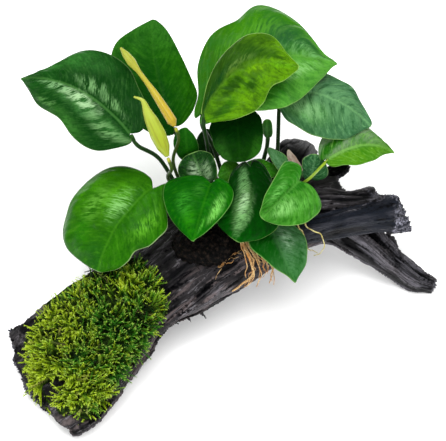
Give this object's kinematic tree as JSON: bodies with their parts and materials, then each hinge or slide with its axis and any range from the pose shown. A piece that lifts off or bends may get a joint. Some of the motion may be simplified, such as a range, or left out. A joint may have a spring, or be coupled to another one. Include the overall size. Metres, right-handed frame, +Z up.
{
  "type": "anubias on driftwood",
  "caption": "Broad-leaved aquarium plant rooted on a forked piece of dark driftwood, with flower spathes and a moss cushion on the low end.",
  "frame": {"origin": "middle of the footprint of the whole object, on the floor that the wood stands on", "axes": "+Z up; +X towards the forked end of the wood; +Y away from the viewer of the picture"},
  "size_m": [0.2574, 0.2451, 0.1379],
  "materials": {
    "bog_wood": "near-black, satin, grooved along the grain",
    "moss": "feathery bright green fronds",
    "rhizome": "dull green, ringed with leaf scars",
    "root_felt": "dark brown matted fibres",
    "root": "cream to orange, smooth",
    "leaf": "glossy deep green with sunken side veins and a pale rim",
    "stem": "smooth green",
    "spathe": "smooth yellow",
    "sheath": "dry, papery, greyish brown"
  },
  "bodies": {
    "root": {"driftwood_back_leg": "bog_wood", "driftwood_knob": "bog_wood", "driftwood_middle_stub": "bog_wood", "driftwood_right_leg": "bog_wood", "driftwood_trunk": "bog_wood", "driftwood_upper_branch": "bog_wood", "leaf_centre_round": "leaf", "leaf_dry_sheath": "sheath", "leaf_far_left": "leaf", "leaf_front_arrow": "leaf", "leaf_front_glossy": "leaf", "leaf_front_heart": "leaf", "leaf_front_low": "leaf", "leaf_inner_crumpled": "leaf", "leaf_inner_dark": "leaf", "leaf_low_left": "leaf", "leaf_right_tip": "leaf", "leaf_right_upper": "leaf", "leaf_small_back": "leaf", "leaf_small_dark": "leaf", "leaf_small_grey": "leaf", "leaf_small_upright": "leaf", "leaf_top_large": "leaf", "leaf_top_left": "leaf", "leaf_top_pale": "leaf", "leaf_under_left": "leaf", "leaf_under_olive": "leaf", "moss_cushion": "moss", "rhizome": "rhizome", "root_ball": "root_felt", "root_front_1": "root", "root_front_2": "root", "root_front_3": "root", "root_right_1": "root", "root_right_2": "root", "spathe_1": "spathe", "spathe_2": "spathe", "stem_centre_round": "stem", "stem_dry_sheath": "stem", "stem_far_left": "stem", "stem_front_arrow": "stem", "stem_front_glossy": "stem", "stem_front_heart": "stem", "stem_front_low": "stem", "stem_inner_crumpled": "stem", "stem_inner_dark": "stem", "stem_low_left": "stem", "stem_right_tip": "stem", "stem_right_upper": "stem", "stem_small_back": "stem", "stem_small_dark": "stem", "stem_small_grey": "stem", "stem_small_upright": "stem", "stem_spathe_1": "stem", "stem_spathe_2": "stem", "stem_top_large": "stem", "stem_top_left": "stem", "stem_top_pale": "stem", "stem_under_left": "stem", "stem_under_olive": "stem"}
  },
  "joints": []
}
